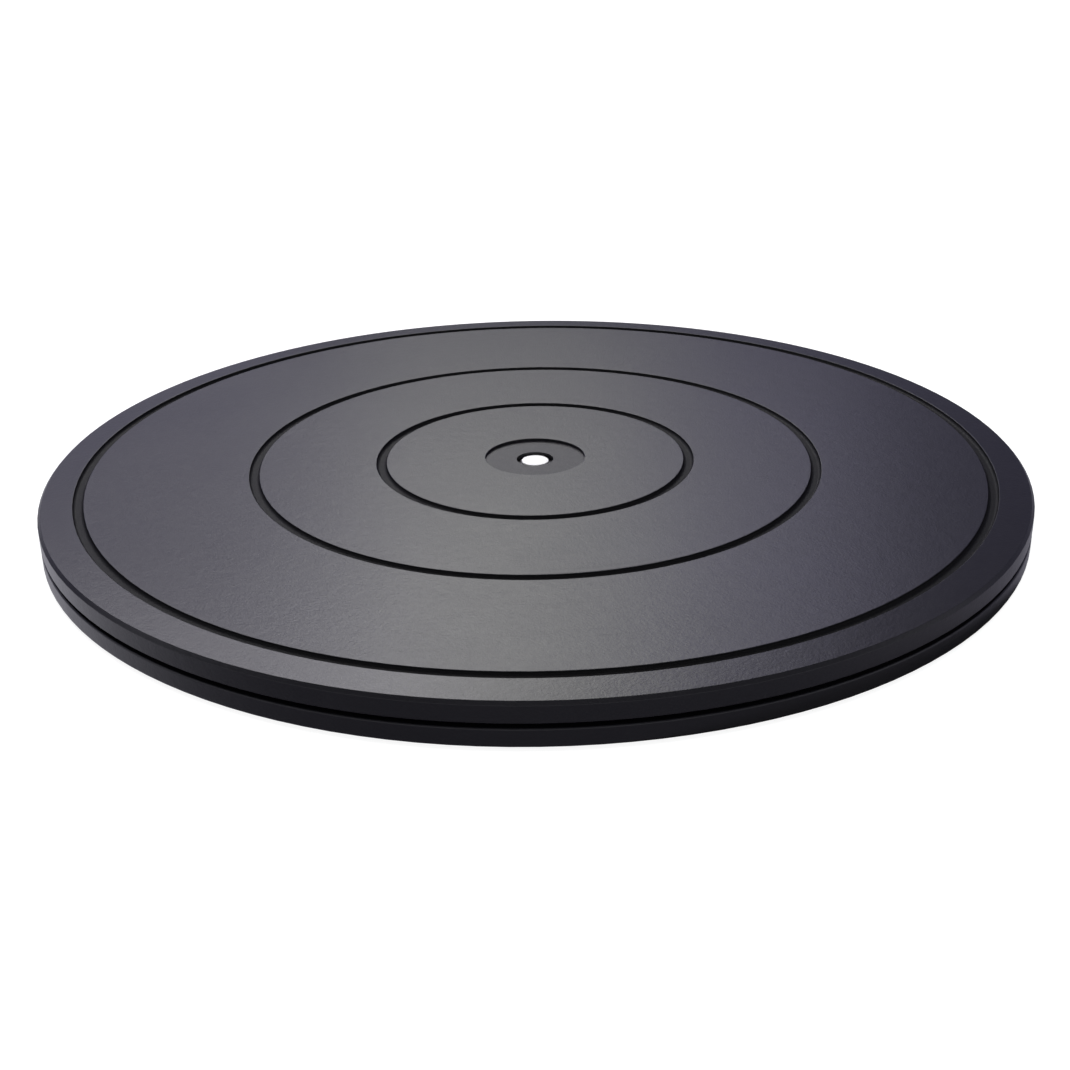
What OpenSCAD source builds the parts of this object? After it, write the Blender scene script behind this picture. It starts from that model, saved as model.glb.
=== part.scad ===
// Sculpting turntable: a round work plate that turns on a ball ring above a footed base disc.
// Millimetres, +Z up, origin on the bench in the middle of the feet.

/* [Discs] */
// Diameter of the work plate and of the base disc
disc_d = 300; // [280:5:360]
// Height of the work plate's side, from its lower edge to the rim
plate_side_h = 5.7; // [5.4:0.1:7]
// Height of the base disc's side
base_side_h = 5.1; // [4.9:0.1:7]
// Open gap between the two discs
disc_gap = 1.25; // [1.1:0.05:1.6]
// Size of the chamfer round the top of the work plate
edge_size = 1.0; // [0.6:0.1:1.2]
// Thickness of the moulded skin of both discs
skin_t = 2.3; // [2.2:0.1:2.4]

/* [Work surface] */
// How far the surface falls from the outer ring groove to the outer edge
rim_fall = 0.7; // [0.3:0.1:1]
// Radius of the inner centring groove
groove_1_r = 47.8; // [44:0.1:52]
// Radius of the middle centring groove
groove_2_r = 86.7; // [84:0.1:92]
// Radius of the outer centring groove
groove_3_r = 138.4; // [132:0.1:139]
// Width of a groove at the surface
groove_w = 3.4; // [3:0.1:4]
// Radius where a groove's walls meet its floor
groove_fillet_r = 1.0; // [0.6:0.1:1.1]
// Depth of a groove
groove_depth = 1.2; // [1:0.1:1.4]
// Diameter of the shallow recess in the middle
recess_d = 31; // [28:0.5:36]
// Depth of the recess
recess_depth = 0.9; // [0.5:0.1:1.1]
// Diameter of the hole in the recess floor
hole_d = 11.5; // [11.4:0.1:13]

/* [Ball ring] */
// Number of balls
ball_n = 20; // [12:1:24]
// Diameter of a ball
ball_d = 5; // [4.9:0.1:5.1]
// Radius of the circle that the ball centres lie on
ball_ring_r = 90; // [88:0.5:91]
// Clearance between a ball and its races and cage
ball_clear = 0.15; // [0.1:0.05:0.2]
// Width of a race ring, across its groove
race_w = 12; // [11:0.5:12]
// Thickness of the ball cage
cage_t = 1.4; // [1:0.1:1.6]

/* [Centre pin] */
// Diameter of the centre pin
pin_d = 8.4; // [8:0.1:8.6]
// Radial clearance of the work plate on the pin
pin_clear = 0.05; // [0.02:0.01:0.08]

/* [Feet] */
// Number of feet
foot_n = 8; // [6:1:12]
// Diameter of a foot
foot_d = 14; // [10:0.5:16]
// How far a foot stands below the base disc
foot_drop = 1.0; // [0.8:0.1:2.5]
// Radius of the circle that the feet lie on
foot_ring_r = 125; // [116:1:130]

/* [Ribs] */
// Number of ribs under each disc, outside the ball ring
outer_rib_n = 24; // [12:2:32]
// Number of ribs under each disc, inside the ball ring
inner_rib_n = 12; // [8:2:16]
// Thickness of a rib
rib_t = 1.6; // [1.2:0.1:2]

/* [Hidden] */
$fn = 96;
disc_r = disc_d / 2;
skirt_t = 2.8;
low_edge = 0.3;
// The chamfer has a small round at each end, and the upper one starts where the sloping rim meets it
edge_round = 0.25;
rim_edge_a = 86;

// Levels, from the bench up
base_z = foot_drop;
base_top_z = base_z + base_side_h;
plate_z = base_top_z + disc_gap;
rim_z = plate_z + plate_side_h;
top_z = rim_z + rim_fall;
recess_z = top_z - recess_depth;

// Radius of the small rounds where the recess and the grooves meet the surface
shoulder_r = 0.15;

// Races: each ring sits in a channel whose lips guide it
ball_z = base_top_z + disc_gap / 2;
race_depth = 3.3;
race_lip_z = 1.3;
race_groove_r = ball_d / 2 + ball_clear;
race_in_r = ball_ring_r - race_w / 2;
race_out_r = ball_ring_r + race_w / 2;
lip_clear = 0.1;
lip_t = 2;
lip_in_r = race_in_r - lip_clear;
lip_out_r = race_out_r + lip_clear;
lower_seat_z = ball_z - race_depth;
upper_seat_z = ball_z + race_depth;

// Hub and pin
hub_r = 14;
shelf_z = recess_z - 2.45;
flange_r = 8;
flange_t = 1.2;
flange_z = base_z + 0.4;
flange_clear = 0.1;
pin_top_z = recess_z - 0.05;
pin_dome_h = 0.5;
washer_gap = 0.3;
washer_in_clear = 0.2;
washer_r = 10;
clip_r = hole_d / 2 - 0.15;
clip_t = 0.8;
clip_gap = 0.15;

// Feet sit in pockets and are held by a stem
foot_pocket_clear = 0.1;
foot_pocket_depth = 1.3;
foot_wall_t = 2;
stem_r = 1.9;
stem_h = 2.6;
foot_edge = 0.5;

// Ribs stop short of the lower edges of the discs
rib_recess = 0.4;
ring_rib_in_r = 48;
ring_rib_out_r = 137;
plate_skin_z = top_z - rim_fall - skin_t;
base_skin_z = base_top_z - skin_t;

// Base disc's edges
base_top_edge = 0.5;
base_low_edge = 0.7;

cage_w = 9;
cage_hole_clear = 0.15;

// Names with two digits keep the balls in order
function two(i) = str(i < 10 ? "0" : "", i);

// Points along an arc, from angle a0 to a1
function arc(x, z, r, a0, a1, n = 6) =
    [for (i = [0:n]) let (a = a0 + (a1 - a0) * i / n) [x + r * cos(a), z + r * sin(a)]];

// Section of one groove, from its inner shoulder to its outer one, with a rounded bottom
function groove(r) =
    let (half = groove_w / 2, wall = half - shoulder_r - groove_fillet_r,
         low = top_z - groove_depth + groove_fillet_r)
    concat(
        arc(r - half, top_z - shoulder_r, shoulder_r, 90, 0, 3),
        arc(r - wall, low, groove_fillet_r, 180, 270),
        arc(r + wall, low, groove_fillet_r, 270, 360),
        arc(r + half, top_z - shoulder_r, shoulder_r, 180, 90, 3));

// Outer edge of the base disc, from its lower outer corner up and in
function base_edge() = concat(
    arc(disc_r - base_low_edge, base_z + base_low_edge, base_low_edge, -90, 0),
    arc(disc_r - base_top_edge, base_top_z - base_top_edge, base_top_edge, 0, 90));

// A ring of rectangular section
module ring(r_in, r_out, z0, z1)
    rotate_extrude() translate([r_in, z0]) square([r_out - r_in, z1 - z0]);

// Radial ribs between two radii
module ribs(n, r0, r1, z0, z1, turn = 0)
    for (i = [0:n - 1])
        rotate(turn + 360 * i / n)
            translate([r0, -rib_t / 2, z0]) cube([r1 - r0, rib_t, z1 - z0]);

// Points the children outward at each place of a ring of n
module around(n, r, i)
    rotate(360 * (i - 0.5) / n) translate([r, 0, 0]) children();

// Everything under a disc's skin that stiffens it, between z0 and z1
module stiffening(z0, z1) {
    ribs(inner_rib_n, hub_r - 1, lip_in_r - lip_t / 2, z0, z1);
    ribs(outer_rib_n, lip_out_r + lip_t / 2, disc_r - skirt_t / 2, z0, z1);
    ring(ring_rib_in_r - rib_t / 2, ring_rib_in_r + rib_t / 2, z0, z1);
    ring(ring_rib_out_r - rib_t / 2, ring_rib_out_r + rib_t / 2, z0, z1);
}

module top_plate() color("#3b3b40") {
    lip_z = upper_seat_z - race_lip_z;
    bore_r = pin_d / 2 + pin_clear;
    rotate_extrude() polygon(concat(
        [[bore_r, plate_z], [bore_r, shelf_z], [hole_d / 2, shelf_z], [hole_d / 2, recess_z],
         [recess_d / 2, recess_z]],
        arc(recess_d / 2 + shoulder_r, top_z - shoulder_r, shoulder_r, 180, 90, 3),
        groove(groove_1_r), groove(groove_2_r), groove(groove_3_r),
        arc(disc_r - edge_size, rim_z - edge_round, edge_round, rim_edge_a, 45, 3),
        arc(disc_r - edge_round, rim_z - edge_size, edge_round, 45, 0, 3),
        [[disc_r, plate_z + low_edge], [disc_r - low_edge, plate_z], [disc_r - skirt_t, plate_z],
         [disc_r - skirt_t, plate_skin_z],
         [lip_out_r + lip_t, plate_skin_z], [lip_out_r + lip_t, lip_z], [lip_out_r, lip_z],
         [lip_out_r, upper_seat_z], [lip_in_r, upper_seat_z], [lip_in_r, lip_z],
         [lip_in_r - lip_t, lip_z], [lip_in_r - lip_t, plate_skin_z],
         [hub_r, plate_skin_z], [hub_r, plate_z]]));
    stiffening(plate_z + rib_recess, plate_skin_z + 0.1);
}

module base_plate() color("#2c2c31") {
    pocket_z = base_z + foot_pocket_depth;
    difference() {
        union() {
            rotate_extrude() polygon(concat(
                [[pin_d / 2, flange_z + flange_t], [flange_r + flange_clear, flange_z + flange_t],
                 [flange_r + flange_clear, base_z + rib_recess], [hub_r, base_z + rib_recess],
                 [hub_r, base_skin_z], [lip_in_r - lip_t, base_skin_z], [lip_in_r - lip_t, base_z],
                 [lip_out_r + lip_t, base_z], [lip_out_r + lip_t, base_skin_z],
                 [disc_r - skirt_t, base_skin_z], [disc_r - skirt_t, base_z]],
                base_edge(),
                [[lip_out_r, base_top_z], [lip_out_r, lower_seat_z], [lip_in_r, lower_seat_z],
                 [lip_in_r, base_top_z], [pin_d / 2, base_top_z]]));
            stiffening(base_z + rib_recess, base_skin_z + 0.1);
            for (i = [1:foot_n])
                around(foot_n, foot_ring_r, i)
                    translate([0, 0, base_z])
                        cylinder(r = foot_d / 2 + foot_wall_t, h = base_skin_z - base_z + 0.1);
        }
        for (i = [1:foot_n])
            around(foot_n, foot_ring_r, i) {
                translate([0, 0, base_z - 1])
                    cylinder(r = foot_d / 2 + foot_pocket_clear, h = foot_pocket_depth + 1);
                translate([0, 0, pocket_z - 0.1])
                    cylinder(r = stem_r + foot_pocket_clear, h = stem_h + 0.3);
            }
    }
}

// The flanged pin is pressed up through the base hub; its domed head shows in the recess
module centre_pin() color("#f4f4f0")
    rotate_extrude() polygon(concat(
        [[0, flange_z], [flange_r, flange_z], [flange_r, flange_z + flange_t],
         [pin_d / 2, flange_z + flange_t]],
        [for (i = [0:8]) let (a = 90 * i / 8)
            [pin_d / 2 * cos(a), pin_top_z - pin_dome_h * (1 - sin(a))]]));

// Slides on the pin and lies on the base hub
module thrust_washer() color("#d9d6cb")
    ring(pin_d / 2 + washer_in_clear, washer_r, base_top_z, plate_z - washer_gap);

// Spring ring pressed on the pin: it keeps the work plate from lifting off
module retaining_ring() color("#1a1a1c")
    ring(pin_d / 2, clip_r, shelf_z + clip_gap, shelf_z + clip_gap + clip_t);

// A race ring between two levels, with the balls' groove cut in it
module race(z0, z1) color("#a9acb0")
    difference() {
        ring(race_in_r, race_out_r, z0, z1);
        rotate_extrude() translate([ball_ring_r, ball_z]) circle(r = race_groove_r);
    }

module upper_race() race(upper_seat_z - race_depth / 2, upper_seat_z);

module lower_race() race(lower_seat_z, lower_seat_z + race_depth / 2);

module ball_cage() color("#e8e2cf")
    difference() {
        ring(ball_ring_r - cage_w / 2, ball_ring_r + cage_w / 2, ball_z - cage_t / 2, ball_z + cage_t / 2);
        for (i = [1:ball_n])
            around(ball_n, ball_ring_r, i)
                translate([0, 0, ball_z - cage_t])
                    cylinder(d = ball_d + 2 * cage_hole_clear, h = 2 * cage_t);
    }

module foot(i) color("#1b1b1d")
    around(foot_n, foot_ring_r, i)
        rotate_extrude() polygon([
            [0, 0], [foot_d / 2 - foot_edge, 0], [foot_d / 2, foot_edge],
            [foot_d / 2, base_z + foot_pocket_depth], [stem_r, base_z + foot_pocket_depth],
            [stem_r, base_z + foot_pocket_depth + stem_h], [0, base_z + foot_pocket_depth + stem_h]]);

module ball(i) color("#c9ccd0")
    around(ball_n, ball_ring_r, i) translate([0, 0, ball_z]) sphere(d = ball_d);

top_plate();
base_plate();
centre_pin();
thrust_washer();
retaining_ring();
upper_race();
lower_race();
ball_cage();
for (i = [1:foot_n]) foot(i);
for (i = [1:ball_n]) ball(i);
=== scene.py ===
"""Looks of the sculpting turntable: satin black moulded plastic in a plain bright studio."""
import math

import bpy
from mathutils import Matrix, Vector


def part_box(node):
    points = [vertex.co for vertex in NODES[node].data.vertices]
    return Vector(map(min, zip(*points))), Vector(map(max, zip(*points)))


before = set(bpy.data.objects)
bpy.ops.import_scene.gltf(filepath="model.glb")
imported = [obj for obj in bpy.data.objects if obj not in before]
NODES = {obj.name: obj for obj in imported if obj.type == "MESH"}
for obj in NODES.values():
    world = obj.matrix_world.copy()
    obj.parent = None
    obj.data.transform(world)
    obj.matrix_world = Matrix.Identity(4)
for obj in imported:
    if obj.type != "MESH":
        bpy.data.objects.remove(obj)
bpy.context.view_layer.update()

DISC_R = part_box("top_plate")[1].x
TOP_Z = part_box("top_plate")[1].z
# Radius of the centre recess, and a radius just outside the outermost groove
RECESS_R = 0.0155
GROOVE_ZONE_R = 0.1405
# Radius at which the discs' edges start to look rubbed
RUBBED_R = DISC_R - 0.0009
SCENE = bpy.context.scene

# Camera: its place from the middle of the work surface, and where it looks
CAMERA_DISTANCE = 3.274 * DISC_R
CAMERA_ELEVATION = math.radians(21.48)
CAMERA_PITCH = math.radians(24.36)
CAMERA_YAW = math.radians(-0.05)
CAMERA_ROLL = math.radians(-0.95)
LENS_MM = 52.8
SENSOR_MM = 36.0

# Studio: how far off the softboxes hang, and the size of the floor and of the wall round it
SOFTBOX_DISTANCE = 2.4
STUDIO_R = 9.0
STUDIO_H = 6.0
STUDIO_SIDES = 64

# Painted shadow: a round black card under the floor, seen only in gloss, that stands for the table's shade
# by the base; the way it is pushed out, and how far it sticks out past the discs
SHADOW_CARD_R = 0.114
SHADOW_CARD_SIDES = 96
SHADOW_CARD_AIM = math.radians(-54)
SHADOW_CARD_OVERHANG = 0.008
SHADOW_CARD_Z = -0.0002

# Radiance of the surround, by where it is seen from the object
TABLE_DIM = (0.098, 0.093, 0.13)
TABLE_RIGHT = (0.25, 0.24, 0.30)
TABLE_LEFT = (0.72, 0.71, 0.80)
ROOM_LOW = (0.11, 0.106, 0.172)
ROOM_HIGH = (0.05, 0.05, 0.06)
ROOM_TOP = (0.30, 0.30, 0.33)
ROOM_FRONT = (0.70, 0.70, 0.75)

# Depths of relief in the surfaces, in metres
MOULD_GRAIN = 0.000018
TOOL_MARK = 0.00002
METAL_MARK = 0.000006
BALL_MARK = 0.000002
RUBBER_GRAIN = 0.00003

# Painted shade: the deeper black painted on the plastic down in the work surface's grooves
GROOVE_PAINTED_SHADE = (0.0018, 0.0018, 0.002)


# ---------------------------------------------------------------- camera and studio

def make_camera():
    """A camera that looks along +Y and down, with a slight roll."""
    data = bpy.data.cameras.new("camera")
    data.lens = LENS_MM
    data.sensor_width = SENSOR_MM
    data.clip_start = 0.01
    camera = bpy.data.objects.new("camera", data)
    SCENE.collection.objects.link(camera)
    level = Vector((math.cos(CAMERA_YAW), -math.sin(CAMERA_YAW), 0))
    ahead = Vector((math.sin(CAMERA_YAW), math.cos(CAMERA_YAW), 0))
    forward = math.cos(CAMERA_PITCH) * ahead - Vector((0, 0, math.sin(CAMERA_PITCH)))
    up = level.cross(forward)
    right = math.cos(CAMERA_ROLL) * level + math.sin(CAMERA_ROLL) * up
    up = right.cross(forward)
    place = Vector((0, -CAMERA_DISTANCE * math.cos(CAMERA_ELEVATION),
                    TOP_Z + CAMERA_DISTANCE * math.sin(CAMERA_ELEVATION)))
    turn = Matrix((right, up, -forward)).transposed().to_4x4()
    camera.matrix_world = Matrix.Translation(place) @ turn
    SCENE.camera = camera


def stage_piece(name, points, faces, glow, grey):
    """A matt grey piece of the studio that glows white, and that gloss doesn't mirror."""
    mesh = bpy.data.meshes.new(name)
    mesh.from_pydata(points, [], faces)
    piece = bpy.data.objects.new(name, mesh)
    SCENE.collection.objects.link(piece)
    material, shader = new_material(name)[:2]
    shader.inputs["Base Color"].default_value = (grey, grey, grey, 1)
    shader.inputs["Roughness"].default_value = 0.9
    shader.inputs["Specular IOR Level"].default_value = 0.0
    shader.inputs["Emission Color"].default_value = (1, 1, 1, 1)
    shader.inputs["Emission Strength"].default_value = glow
    mesh.materials.append(material)
    piece.visible_glossy = False
    piece.visible_shadow = False
    return piece


def circle(radius, count):
    """Points evenly spaced round a circle, as x and y."""
    turns = [math.tau * i / count for i in range(count)]
    return [(radius * math.cos(turn), radius * math.sin(turn)) for turn in turns]


def make_stage():
    """A round light table, and a white wall round it that gives no light of its own to the object."""
    count = STUDIO_SIDES
    ring = circle(STUDIO_R, count)
    stage_piece("floor", [(x, y, 0) for x, y in ring], [tuple(range(count))], glow=0.9, grey=0.3)
    low_and_high = [(x, y, z) for z in (0, STUDIO_H) for x, y in ring]
    sides = [(i, (i + 1) % count, count + (i + 1) % count, count + i) for i in range(count)]
    wall = stage_piece("wall", low_and_high, sides, glow=0.98, grey=0.0)
    wall.visible_diffuse = False


def make_shadow_card():
    """A round black card under the floor that shows only in gloss, low on the base's right side: painted
    shadow, the table's shade by the base as its side mirrors it.
    """
    reach = DISC_R + SHADOW_CARD_OVERHANG - SHADOW_CARD_R
    points = [(x + reach * math.cos(SHADOW_CARD_AIM), y + reach * math.sin(SHADOW_CARD_AIM), SHADOW_CARD_Z)
              for x, y in circle(SHADOW_CARD_R, SHADOW_CARD_SIDES)]
    # Painted shadow: a black card seen only in reflections, standing in for the table's shade next to the
    # base.
    shadow_card = stage_piece("shadow_card", points, [tuple(range(SHADOW_CARD_SIDES))], glow=0.0, grey=0.002)
    shadow_card.visible_glossy = True
    shadow_card.visible_camera = False
    shadow_card.visible_diffuse = False


def softbox(name, azimuth, elevation, width, height, glow, color):
    """A rectangular softbox that faces the object. Azimuth 0 is behind the object, glow is its radiance."""
    data = bpy.data.lights.new(name, "AREA")
    data.shape = "RECTANGLE"
    data.size = width
    data.size_y = height
    data.energy = math.pi * width * height * glow
    data.color = color
    light = bpy.data.objects.new(name, data)
    SCENE.collection.objects.link(light)
    turn = math.radians(azimuth)
    rise = math.radians(elevation)
    place = SOFTBOX_DISTANCE * Vector((math.cos(rise) * math.sin(turn),
                                       math.cos(rise) * math.cos(turn),
                                       math.sin(rise)))
    facing = (-place).to_track_quat("-Z", "Y").to_matrix().to_4x4()
    light.matrix_world = Matrix.Translation(place) @ facing
    return light


def make_lights():
    """Two softboxes behind, two to the left of them, and one overhead that gloss doesn't mirror."""
    # name, azimuth, elevation, width, height, glow, colour
    softbox("back_strip", -1.6, 38, 0.53, 1.36, 1.80, (0.97, 1.0, 0.70))
    softbox("back_softbox", 2.4, 35, 1.0, 1.08, 1.46, (0.77, 0.74, 1.0))
    softbox("left_softbox", -31, 33, 1.72, 2.3, 0.33, (0.79, 0.77, 1.0))
    softbox("high_left_softbox", -25.5, 53.5, 1.36, 1.8, 2.95, (0.975, 0.95, 1.0))
    overhead = softbox("top_softbox", 0, 90, 2.0, 2.0, 3.4, (1.0, 1.0, 1.0))
    overhead.visible_glossy = False


def make_world():
    """The surround that gloss mirrors: a room above the horizon and a table below it.

    The room is dim and bluish behind the object, and lighter in front and straight overhead. The table is
    dim in front of the object, bright behind it to the left and lighter behind it to the right.
    """
    world = bpy.data.worlds.new("studio")
    SCENE.world = world
    world.use_nodes = True
    tree = world.node_tree
    direction = tree.nodes.new("ShaderNodeTexCoord").outputs["Generated"]
    split = tree.nodes.new("ShaderNodeSeparateXYZ")
    tree.links.new(direction, split.inputs[0])
    height = split.outputs["Z"]
    to_left = ramp(tree, along(tree, direction, (-0.53, 0.85, 0)), 0.05, 0.97, 0, 1)
    to_right = ramp(tree, along(tree, direction, (0.77, 0.64, 0)), 0.1, 0.8, 0, 1)
    to_front = ramp(tree, along(tree, direction, (0, -1, 0)), -0.45, 0.0, 0, 1)
    above_table = ramp(tree, height, 0.04, 0.16, 0, 1)
    below_lamps = ramp(tree, height, 0.46, 0.6, 1, 0)
    band = calculate(tree, "MULTIPLY", above_table, below_lamps)
    table = mix_color(tree, to_right, TABLE_DIM, TABLE_RIGHT)
    table = mix_color(tree, to_left, table, TABLE_LEFT)
    room = mix_color(tree, ramp(tree, height, 0.45, 0.75, 0, 1), ROOM_LOW, ROOM_HIGH)
    room = mix_color(tree, ramp(tree, height, 0.9, 0.97, 0, 1), room, ROOM_TOP)
    room = mix_color(tree, calculate(tree, "MULTIPLY", to_front, band), room, ROOM_FRONT)
    surround = mix_color(tree, ramp(tree, height, -0.1, 0.05, 0, 1), table, room)
    tree.links.new(surround, tree.nodes["Background"].inputs["Color"])


# ---------------------------------------------------------------- node helpers

def new_material(name):
    """A material with its shader and its node tree."""
    material = bpy.data.materials.new(name)
    material.use_nodes = True
    tree = material.node_tree
    return material, tree.nodes["Principled BSDF"], tree


def add(tree, kind, **values):
    """A node of that kind, with its inputs set by name."""
    node = tree.nodes.new(kind)
    for name, value in values.items():
        node.inputs[name.replace("_", " ")].default_value = value
    return node


def along(tree, vector, axis):
    """How far vector reaches along axis."""
    node = tree.nodes.new("ShaderNodeVectorMath")
    node.operation = "DOT_PRODUCT"
    node.inputs[1].default_value = axis
    tree.links.new(vector, node.inputs[0])
    return node.outputs["Value"]


def calculate(tree, operation, first, second):
    """first and second put together; each is an output or a number."""
    node = tree.nodes.new("ShaderNodeMath")
    node.operation = operation
    for socket, value in zip(node.inputs, (first, second)):
        if isinstance(value, (int, float)):
            socket.default_value = value
        else:
            tree.links.new(value, socket)
    return node.outputs[0]


def noise(tree, place, scale, detail, rough):
    """Noise round 0.5, with features about 1 / scale metres across. It is the same on every run."""
    node = add(tree, "ShaderNodeTexNoise", Scale=scale, Detail=detail, Roughness=rough)
    tree.links.new(place, node.inputs["Vector"])
    return node.outputs["Fac"]


def ramp(tree, value, low, high, out_low, out_high):
    """value eased from low..high to out_low..out_high, and held there."""
    node = add(tree, "ShaderNodeMapRange")
    node.interpolation_type = "SMOOTHSTEP"
    ends = {"From Min": low, "From Max": high, "To Min": out_low, "To Max": out_high}
    for name, number in ends.items():
        node.inputs[name].default_value = number
    tree.links.new(value, node.inputs["Value"])
    return node.outputs[0]


def mix_color(tree, factor, first, second):
    """first where factor is 0, second where it is 1; each is a colour or an output."""
    node = tree.nodes.new("ShaderNodeMix")
    node.data_type = "RGBA"
    tree.links.new(factor, node.inputs["Factor"])
    colors = [socket for socket in node.inputs if socket.type == "RGBA"]
    for socket, value in zip(colors, (first, second)):
        if isinstance(value, tuple):
            socket.default_value = value + (1,)
        else:
            tree.links.new(value, socket)
    return [socket for socket in node.outputs if socket.type == "RGBA"][0]


def object_place(tree):
    """The point on the piece, its distance from the spindle and its height, in metres."""
    place = tree.nodes.new("ShaderNodeTexCoord").outputs["Object"]
    split = tree.nodes.new("ShaderNodeSeparateXYZ")
    tree.links.new(place, split.inputs[0])
    flat = tree.nodes.new("ShaderNodeVectorMath")
    flat.operation = "MULTIPLY"
    flat.inputs[1].default_value = (1, 1, 0)
    tree.links.new(place, flat.inputs[0])
    length = tree.nodes.new("ShaderNodeVectorMath")
    length.operation = "LENGTH"
    tree.links.new(flat.outputs["Vector"], length.inputs[0])
    return place, length.outputs["Value"], split.outputs["Z"]


def rings(tree, radius, height, scale):
    """Fine rings round the spindle, uneven as turning marks and scuffs are."""
    joined = tree.nodes.new("ShaderNodeCombineXYZ")
    tree.links.new(radius, joined.inputs["X"])
    tree.links.new(height, joined.inputs["Y"])
    return noise(tree, joined.outputs[0], scale, 3, 0.6)


def bump(tree, shader, height, strength, distance):
    """Relief on the shader's normal, distance metres high where height is 1."""
    node = add(tree, "ShaderNodeBump", Strength=strength, Distance=distance)
    tree.links.new(height, node.inputs["Height"])
    tree.links.new(node.outputs["Normal"], shader.inputs["Normal"])


# ---------------------------------------------------------------- materials

def moulded_plastic(name, dark, light, rough_low, rough_high, wear, surface_z=None):
    """Satin moulded plastic: eroded grain, cloudy flow marks, faint ring scuffs, a rubbed outer edge.

    With surface_z, the height of the work surface, its grooves get painted shade, a deeper black, and its
    recess is duller.
    """
    material, shader, tree = new_material(name)
    place, radius, height = object_place(tree)
    cloud = ramp(tree, noise(tree, place, 16, 4, 0.6), 0.35, 0.65, 0, 1)
    speck = ramp(tree, noise(tree, place, 260, 3, 0.7), 0.62, 0.72, 0, 1)
    scuff_ring = ramp(tree, rings(tree, radius, height, 700), 0.58, 0.74, 0, 1)
    scuff_patch = ramp(tree, noise(tree, place, 34, 3, 0.5), 0.5, 0.66, 0, 1)
    scuff = calculate(tree, "MULTIPLY", scuff_ring, scuff_patch)
    ragged = calculate(tree, "MULTIPLY", noise(tree, place, 420, 3, 0.6), 0.0016)
    rubbed = ramp(tree, calculate(tree, "ADD", radius, ragged), RUBBED_R, RUBBED_R + 0.0011, 0, 1)
    color = mix_color(tree, cloud, dark, light)
    color = mix_color(tree, calculate(tree, "MULTIPLY", speck, 0.35), color, wear)
    color = mix_color(tree, calculate(tree, "MULTIPLY", rubbed, 0.25), color, wear)
    rough = ramp(tree, noise(tree, place, 22, 4, 0.65), 0.3, 0.7, rough_low, rough_high)
    rough = calculate(tree, "ADD", rough, calculate(tree, "MULTIPLY", scuff, 0.05))
    mottle = calculate(tree, "SUBTRACT", noise(tree, place, 520, 4, 0.7), 0.5)
    rough = calculate(tree, "ADD", rough, calculate(tree, "MULTIPLY", mottle, 0.09))
    if surface_z is not None:
        within = ramp(tree, radius, GROOVE_ZONE_R, GROOVE_ZONE_R + 0.0002, 1, 0)
        outside_recess = ramp(tree, radius, RECESS_R - 0.0001, RECESS_R + 0.0001, 0, 1)
        below = ramp(tree, height, surface_z - 0.0003, surface_z - 0.0001, 1, 0)
        sunk = calculate(tree, "MULTIPLY", below, within)
        groove = calculate(tree, "MULTIPLY", sunk, outside_recess)
        # Painted shade: the plastic down in the grooves is coloured a deeper black, as shade in them would
        # make it look.
        color = mix_color(tree, groove, color, GROOVE_PAINTED_SHADE)
        rough = calculate(tree, "ADD", rough, calculate(tree, "MULTIPLY", sunk, 0.14))
        rough = calculate(tree, "ADD", rough, calculate(tree, "MULTIPLY", groove, 0.15))
        gloss = calculate(tree, "SUBTRACT", 0.5, calculate(tree, "MULTIPLY", groove, 0.3))
        tree.links.new(gloss, shader.inputs["Specular IOR Level"])
    tree.links.new(color, shader.inputs["Base Color"])
    tree.links.new(rough, shader.inputs["Roughness"])
    pitted = calculate(tree, "MULTIPLY", noise(tree, place, 1300, 3, 0.6), 2.6)
    ripple = calculate(tree, "MULTIPLY", noise(tree, place, 330, 3, 0.55), 2.8)
    worn_down = calculate(tree, "MULTIPLY", scuff, -0.1)
    relief = calculate(tree, "ADD", calculate(tree, "ADD", pitted, ripple), worn_down)
    bump(tree, shader, relief, 1.0, MOULD_GRAIN)
    return material


def turned_plastic(name, dark, light, rough_low, rough_high):
    """Plastic turned on a lathe: fine rings from the tool and a slightly cloudy tone."""
    material, shader, tree = new_material(name)
    place, radius, height = object_place(tree)
    turned = rings(tree, radius, height, 4200)
    cloud = ramp(tree, noise(tree, place, 240, 4, 0.6), 0.3, 0.7, 0, 1)
    tree.links.new(mix_color(tree, cloud, dark, light), shader.inputs["Base Color"])
    tree.links.new(ramp(tree, turned, 0.3, 0.7, rough_low, rough_high), shader.inputs["Roughness"])
    bump(tree, shader, turned, 0.4, TOOL_MARK)
    return material


def metal(name, dark, light, rough_low, rough_high, ring_scale, mark=METAL_MARK):
    """Worked metal: fine rings or grind marks, and a cloudy film of oil or zinc."""
    material, shader, tree = new_material(name)
    place, radius, height = object_place(tree)
    worked = rings(tree, radius, height, ring_scale)
    film = ramp(tree, noise(tree, place, 320, 4, 0.6), 0.35, 0.65, 0, 1)
    tree.links.new(mix_color(tree, film, dark, light), shader.inputs["Base Color"])
    mixed = calculate(tree, "ADD", worked, noise(tree, place, 150, 3, 0.6))
    mixed = calculate(tree, "MULTIPLY", mixed, 0.5)
    tree.links.new(ramp(tree, mixed, 0.35, 0.65, rough_low, rough_high), shader.inputs["Roughness"])
    shader.inputs["Metallic"].default_value = 1.0
    bump(tree, shader, worked, 0.3, mark)
    return material


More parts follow.
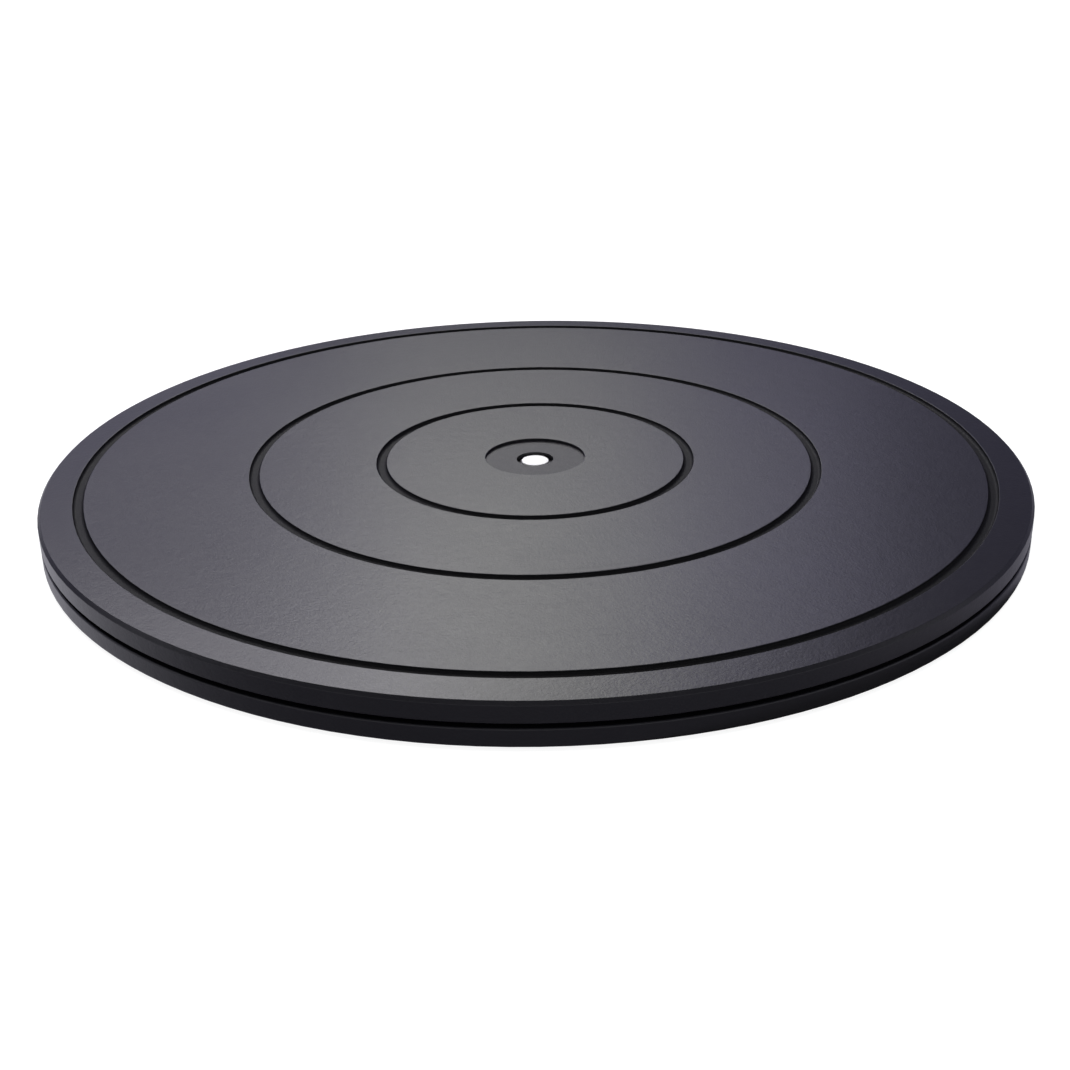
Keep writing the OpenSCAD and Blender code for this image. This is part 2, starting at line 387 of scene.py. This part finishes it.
def rubber(name, dark, dusty):
    """Matt moulded rubber with a bloom of dust and a fine pebbled skin."""
    material, shader, tree = new_material(name)
    place = tree.nodes.new("ShaderNodeTexCoord").outputs["Object"]
    bloom = ramp(tree, noise(tree, place, 190, 5, 0.65), 0.42, 0.7, 0, 1)
    tree.links.new(mix_color(tree, bloom, dark, dusty), shader.inputs["Base Color"])
    tree.links.new(ramp(tree, bloom, 0, 1, 0.62, 0.85), shader.inputs["Roughness"])
    shader.inputs["Specular IOR Level"].default_value = 0.35
    bump(tree, shader, noise(tree, place, 2600, 2, 0.5), 0.4, RUBBER_GRAIN)
    return material


def assign(names, material):
    """The material on each named CAD node, in place of what was there."""
    for name in names:
        NODES[name].data.materials.clear()
        NODES[name].data.materials.append(material)


def make_materials():
    """A material for each kind of piece."""
    plate_black = moulded_plastic("plate_black", (0.0058, 0.0054, 0.0072), (0.0070, 0.0066, 0.0086),
                                  0.295, 0.320, (0.014, 0.014, 0.015), TOP_Z)
    base_black = moulded_plastic("base_black", (0.0054, 0.0050, 0.0068), (0.0066, 0.0062, 0.0080),
                                 0.31, 0.35, (0.012, 0.012, 0.013))
    acetal = turned_plastic("acetal_white", (0.92, 0.917, 0.90), (0.96, 0.96, 0.95), 0.30, 0.42)
    washer = turned_plastic("washer_nylon", (0.66, 0.63, 0.54), (0.74, 0.71, 0.62), 0.34, 0.46)
    cage = turned_plastic("cage_nylon", (0.60, 0.56, 0.44), (0.70, 0.66, 0.54), 0.38, 0.52)
    spring = metal("spring_steel", (0.035, 0.035, 0.038), (0.06, 0.06, 0.065), 0.34, 0.46, 2600)
    zinc = metal("race_zinc", (0.50, 0.51, 0.53), (0.66, 0.67, 0.69), 0.26, 0.40, 1500)
    chrome = metal("ball_chrome", (0.62, 0.62, 0.63), (0.74, 0.74, 0.75), 0.07, 0.14, 900, BALL_MARK)
    foot_rubber = rubber("foot_rubber", (0.014, 0.014, 0.015), (0.05, 0.049, 0.047))
    assign(["top_plate"], plate_black)
    assign(["base_plate"], base_black)
    assign(["centre_pin"], acetal)
    assign(["thrust_washer"], washer)
    assign(["ball_cage"], cage)
    assign(["retaining_ring"], spring)
    assign(["upper_race", "lower_race"], zinc)
    assign([name for name in NODES if name.startswith("ball_") and name != "ball_cage"], chrome)
    assign([name for name in NODES if name.startswith("foot_")], foot_rubber)


SCENE.view_settings.view_transform = "Standard"
make_camera()
make_stage()
make_shadow_card()
make_world()
make_lights()
make_materials()
